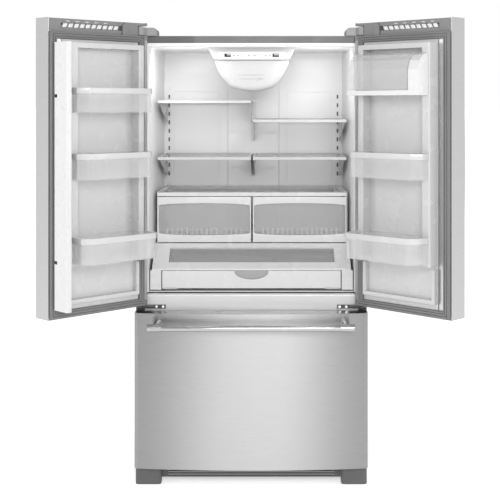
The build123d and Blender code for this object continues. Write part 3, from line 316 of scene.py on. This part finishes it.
# ---- camera, floor and light -----------------------------------------------------------------------
def look():
    """A level camera straight in front, high up, with its frame shifted down on to the object."""
    camera = bpy.data.objects.new("camera", bpy.data.cameras.new("camera"))
    bpy.context.scene.collection.objects.link(camera)
    camera.location = CAMERA_PLACE
    camera.rotation_euler = (math.radians(90), 0, 0)
    camera.data.lens = 80.0
    camera.data.shift_x, camera.data.shift_y = CAMERA_SHIFT
    camera.data.clip_end = 1000
    bpy.context.scene.camera = camera
    bpy.context.scene.view_settings.view_transform = "Standard"


def area_light(name, place, target, size, power):
    """A rectangular light of the given power in watts, aimed at a target."""
    light = bpy.data.lights.new(name, "AREA")
    light.shape = "RECTANGLE"
    light.size, light.size_y = size
    light.energy = power
    lamp = bpy.data.objects.new(name, light)
    bpy.context.scene.collection.objects.link(lamp)
    lamp.location = place
    lamp.rotation_euler = (Vector(target) - Vector(place)).to_track_quat("-Z", "Y").to_euler()


def sky():
    """White behind the object; what lights it and shows in the steel is brightest straight in front."""
    world = bpy.data.worlds.new("sky")
    bpy.context.scene.world = world
    world.use_nodes = True
    tree = world.node_tree
    background = tree.nodes["Background"]
    place = tree.nodes.new("ShaderNodeTexCoord")
    axes = tree.nodes.new("ShaderNodeSeparateXYZ")
    sideways = tree.nodes.new("ShaderNodeMath")
    sideways.operation = "ABSOLUTE"
    ramp = tree.nodes.new("ShaderNodeValToRGB")
    ramp.color_ramp.elements.new(0.5)
    for stop, (at, grey) in zip(ramp.color_ramp.elements, SKY):
        stop.position = at
        stop.color = (grey, grey, grey, 1)
    path = tree.nodes.new("ShaderNodeLightPath")
    choice = tree.nodes.new("ShaderNodeMix")
    choice.data_type = "RGBA"
    choice.inputs["B"].default_value = (1, 1, 1, 1)
    tree.links.new(place.outputs["Generated"], axes.inputs["Vector"])
    tree.links.new(axes.outputs["X"], sideways.inputs[0])
    tree.links.new(sideways.outputs["Value"], ramp.inputs["Fac"])
    tree.links.new(ramp.outputs["Color"], choice.inputs["A"])
    tree.links.new(path.outputs["Is Camera Ray"], choice.inputs["Factor"])
    tree.links.new(choice.outputs["Result"], background.inputs["Color"])


def studio():
    """A pale floor that runs out to a white sky, a front light, two side ones and two in the cabinet."""
    bm = bmesh.new()
    bmesh.ops.create_grid(bm, x_segments=1, y_segments=1, size=FLOOR_REACH)
    mesh = bpy.data.meshes.new("floor")
    bm.to_mesh(mesh)
    bm.free()
    floor = bpy.data.objects.new("floor", mesh)
    bpy.context.scene.collection.objects.link(floor)
    floor.location.z = -0.0005
    pale = moulded("floor_pale", 0.90, 0.92, (0.6, 0.7), 40.0, 0.00002, Emission_Strength=0.55)
    pale.node_tree.nodes["Principled BSDF"].inputs["Emission Color"].default_value = (1, 1, 1, 1)
    mesh.materials.append(pale)
    sky()
    area_light("front_light", (0.3, FACE - 3.9, 2.3), (0, 0.2, 1.2), (1.6, 1.0), 60)
    for side in (-1, 1):
        area_light("cabinet_light_left" if side < 0 else "cabinet_light_right",
                   (side * 0.28, FACE + 0.04, 1.66), (side * 0.22, FACE + 0.6, 1.25), (0.16, 0.08), 0.6)
    area_light("left_light", (-3.2, FACE - 1.6, 1.9), (-0.5, 0, 1.0), (1.2, 2.2), 22)
    area_light("right_light", (3.2, FACE - 1.6, 1.9), (0.5, 0, 1.0), (1.2, 2.2), 22)


# ---- pieces that add detail to the CAD frame ---------------------------------------------------------
def crisper_trims():
    """White front rails of the crispers, with bowed inner edges, and a row of ribs behind them."""
    for side in ("left", "right"):
        low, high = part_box(f"crisper_{side}")
        middle, half = (low.x + high.x) / 2, (high.x - low.x) / 2 - 0.0008
        rail, foot, bow = high.z - 0.036, low.z + 0.028, 0.010
        bm = bmesh.new()
        upper = [(middle - half, high.z - 0.0005), (middle - half, rail)]
        upper += arc_points((middle, rail), (half - 0.004, bow), 180, 0, 25)
        upper += [(middle + half, rail), (middle + half, high.z - 0.0005)]
        add_prism(bm, upper, low.y - 0.004, low.y - 0.0003)
        lower = [(middle + half, low.z), (middle + half, foot + bow)]
        lower += arc_points((middle, foot + bow), (half - 0.004, bow), 0, -180, 25)
        lower += [(middle - half, foot + bow), (middle - half, low.z)]
        add_prism(bm, lower, low.y - 0.004, low.y - 0.0003)
        for edge in (-1, 1):
            at = middle + edge * (half - 0.0025)
            add_prism(bm, rectangle((at - 0.0025, at + 0.0025), (foot, rail)), low.y - 0.002, low.y - 0.0003)
        mesh_object(f"crisper_trim_{side}", bm, MATERIALS["white_trim"], f"crisper_{side}",
                    0.0012)
        bm = bmesh.new()
        for i in range(16):
            x = middle - half + 0.04 + i * (2 * half - 0.08) / 15
            add_prism(bm, rectangle((x - 0.003, x + 0.003), (low.z + 0.030, low.z + 0.056)),
                      low.y + 0.0045, low.y + 0.0095)
        mesh_object(f"crisper_ribs_{side}", bm, RIB_GREY, f"crisper_{side}", 0.001)


def panel_details():
    """Dark windows and small generic marks on the control strip, and two ridges on the lamp cover."""
    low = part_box("control_panel")[0]
    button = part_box("button_right")
    centre_z = (button[0].z + button[1].z) / 2
    for side in (-1, 1):
        bm = bmesh.new()
        x = side * 0.096
        add_prism(bm, rectangle((x - 0.0125, x + 0.0125), (centre_z - 0.0055, centre_z + 0.0075)),
                  low.y + 0.0002, low.y + 0.0014)
        mesh_object("display_left" if side < 0 else "display_right", bm, DARK_WINDOW, "cabinet",
                    0.0005)
    bm = bmesh.new()
    for x in (-0.072, -0.056, -0.012, 0.012, 0.056, 0.072):
        add_prism(bm, arc_points((x, centre_z), (0.0035, 0.0035), 0, 330, 12), low.y - 0.0004, low.y)
    for x in (-0.104, -0.088, 0.088, 0.104):
        add_prism(bm, rectangle((x - 0.004, x + 0.004), (centre_z + 0.0115, centre_z + 0.0128)),
                  low.y - 0.0004, low.y)
    mesh_object("panel_marks", bm, MARK_GREY, "cabinet")
    cover_low, cover_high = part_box("light_diffuser")
    bm = bmesh.new()
    for z in (cover_high.z - 0.0585, cover_high.z - 0.0745):
        ridge = arc_points((0, z), (0.055, 0.0016), 0, 345, 24)
        add_prism(bm, ridge, cover_low.y - 0.0012, cover_low.y + 0.002)
    mesh_object("lamp_cover_ridges", bm, RIB_GREY, "cabinet", 0.0004)


def vent_rows():
    """Pale blocks in the pocket of each door's top cap, a raised block beside it and pale slots above."""
    for side in ("left", "right"):
        place = door_place(side)
        bm = bmesh.new()
        count, first, last = 10, 0.062, 0.318
        pitch = (last - first) / count
        for i in range(count):
            x = first + i * pitch
            outline = [(x, CAP_POCKET[0]), (x + pitch * 0.72, CAP_POCKET[0]),
                       (x + pitch * 0.98, CAP_POCKET[1]), (x + pitch * 0.26, CAP_POCKET[1])]
            add_prism(bm, outline, DOOR_REAR - 0.012, DOOR_REAR - 0.002)
        mesh_object(f"{side}_vent_blocks", bm, MATERIALS["white_trim"], f"{side}_door",
                    0.0008, place)
        bm = bmesh.new()
        inner, outer = CAP_BLOCK_X
        bottom, corner, top = CAP_BLOCK_LEVELS
        outline = [(inner, bottom), (outer, bottom), (outer, top), (inner + 0.012, top), (inner, corner)]
        add_prism(bm, outline, DOOR_REAR - 0.001, DOOR_REAR + 0.006)
        mesh_object(f"{side}_cap_block", bm, MATERIALS["grey_plastic"], f"{side}_door",
                    0.0015, place)
        bm = bmesh.new()
        for i in range(5):
            x = 0.078 + i * 0.042
            add_prism(bm, rectangle((x, x + 0.016), CAP_SLOT_LEVELS), DOOR_REAR - 0.001, DOOR_REAR + 0.0012)
        mesh_object(f"{side}_cap_slots", bm, DOOR_TRIM, f"{side}_door", 0.0005, place)


def add_frame(bm, x, z, width, near, far):
    """Adds a rectangular ring with mitred corners, width wide inwards from its outer edge."""
    outer = rectangle(x, z)
    inner = rectangle((x[0] + width, x[1] - width), (z[0] + width, z[1] - width))
    for i in range(4):
        k = (i + 1) % 4
        add_prism(bm, [outer[i], outer[k], inner[k], inner[i]], near, far)


def gaskets():
    """Each door's soft seal: a low band with three ribs that run round it."""
    for side in ("left", "right"):
        bm = bmesh.new()
        x, z = (DOOR_GAP + 0.005, HALF - 0.0205), GASKET_LEVELS
        add_frame(bm, x, z, GASKET_WIDTH, DOOR_REAR, DOOR_REAR + 0.0088)
        for inset, width in GASKET_RIBS:
            add_frame(bm, (x[0] + inset, x[1] - inset), (z[0] + inset, z[1] - inset), width,
                      DOOR_REAR + 0.0085, DOOR_REAR + 0.0126)
        seal = mesh_object(f"{side}_door_seal", bm, MATERIALS["seal_rubber"], f"{side}_door",
                           0.001, door_place(side))
        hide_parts(f"{side}_door_gasket")


def bin_plan(bottom_depth, offset):
    """Half-open plan of a door bin's front edge, hinge side to free side, offset outwards."""
    x = (DYKE_FREE + 0.006, DYKE_HINGE)
    front = LINER_FLAT + bottom_depth + offset
    back = DYKE_BACK + 0.0006
    return [(x[1] + offset, back), (x[1] + offset, front - 0.018), (x[1] - 0.02, front),
            (x[0] + 0.034, front), (x[0] - offset, front - 0.030), (x[0] - offset, back)]


def bin_trims():
    """White band round the top of each door bin, and flutes on its free corner."""
    levels = {"left": {"top": HIGH_BIN, "middle": MIDDLE_BIN, "low": LOW_BIN},
              "right": {"middle": MIDDLE_BIN, "low": LOW_BIN}}
    for side, bins in levels.items():
        place = door_place(side)
        for level, (bottom, top, depth) in bins.items():
            bm = bmesh.new()
            outer, inner = bin_plan(depth, 0.0022), bin_plan(depth, 0.0002)
            band = outer + list(reversed(inner))
            add_prism(bm, band, top - 0.020, top + 0.001, axis="z")
            mesh_object(f"{side}_{level}_bin_trim", bm, DOOR_TRIM, f"{side}_door", 0.0006,
                        place)
            bm = bmesh.new()
            span = DYKE_HINGE - DYKE_FREE - 0.006
            for i in range(6):
                x = DYKE_FREE + 0.046 + i * span * 0.035
                front = LINER_FLAT + depth
                add_prism(bm, rectangle((x - 0.002, x + 0.002), (front - 0.0005, front + 0.0014)),
                          bottom + 0.006, top - 0.022, axis="z")
            mesh_object(f"{side}_{level}_bin_flutes", bm, MATERIALS["clear_plastic"], f"{side}_door",
                        0.0008, place)


def deli_grip():
    """Grey insert behind the wide drawer's scooped grip, and pull-out catches at its lower corners."""
    low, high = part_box("deli_drawer")
    bm = bmesh.new()
    outline = arc_points((0, high.z - 0.0006), (0.067, 0.036), 180, 360, 25)
    add_prism(bm, outline, low.y + 0.0068, low.y + 0.0082)
    mesh_object("deli_grip_insert", bm, GRIP_GREY, "deli_drawer", 0.0003)
    bm = bmesh.new()
    for side in (-1, 1):
        x = side * (high.x - 0.031)
        catch = rectangle((x - 0.029, x + 0.029), (low.z - 0.0035, low.z + 0.003))
        add_prism(bm, catch, low.y, low.y + 0.006)
    mesh_object("deli_catches", bm, MATERIALS["white_trim"], "deli_drawer", 0.001)


def wall_details():
    """Raised outlines of the two panels on the back wall."""
    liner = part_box("fresh_food_liner")
    depths = (liner[1].y - 0.0065, liner[1].y - 0.004)
    foot, head_low, upright_top, head_top = WALL_PANEL_LEVELS
    bm = bmesh.new()
    for side in (-1, 1):
        panel_x = sorted(side * x for x in WALL_PANEL_X)
        for x in panel_x:
            add_prism(bm, rectangle((x - 0.0015, x + 0.0015), (foot, upright_top)), *depths)
        add_prism(bm, rectangle(panel_x, (head_low, head_top)), *depths)
    mesh_object("back_wall_panels", bm, MATERIALS["white_plastic"], "cabinet", 0.0006)


def ladder_slots():
    """Dark insides of the slots in the side ladders."""
    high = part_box("shelf_ladders")[1]
    bm = bmesh.new()
    for side in (-1, 1):
        for i in range(10):
            z = LADDER_TOP_SLOT - LADDER_PITCH * i
            x = side * (high.x - 0.011)
            slot = rectangle((x - 0.0034, x + 0.0034), (z - 0.0088, z + 0.0088))
            add_prism(bm, slot, high.y - 0.0022, high.y - 0.0016)
    mesh_object("ladder_slots", bm, SHADOW_GREY, "cabinet")


def handle_collars():
    """Fine rings on the end caps of the drawer's handle."""
    low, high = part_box("drawer_handle")
    radius = (high.z - low.z) / 2
    centre_z = (high.z + low.z) / 2
    for side in (-1, 1):
        bm = bmesh.new()
        end = side * high.x
        centre_y = handle_axis(side)
        ring = arc_points((0, centre_z), (radius + RING_RISE, radius + RING_RISE), 0, 345, 24)
        for i in range(6):
            x = end - side * (0.007 + i * 0.008)
            add_prism(bm, [(a + centre_y, b) for a, b in ring], x - 0.0012, x + 0.0012, axis="x")
        mesh_object("handle_rings_left" if side < 0 else "handle_rings_right", bm, MATERIALS["handle_steel"],
                    "freezer_drawer", 0.0004)


def handle_axis(side):
    """Y of the handle's centre line at its ends, from the mesh of its end caps."""
    node = frame["nodes"]["drawer_handle"].data
    edge = max(side * v.co.x for v in node.vertices) - 0.02
    near_end = [v.co.y for v in node.vertices if side * v.co.x > edge]
    return min(near_end) + (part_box("drawer_handle")[1].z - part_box("drawer_handle")[0].z) / 2


crisper_trims()
panel_details()
vent_rows()
gaskets()
bin_trims()
deli_grip()
wall_details()
ladder_slots()
handle_collars()
look()
studio()
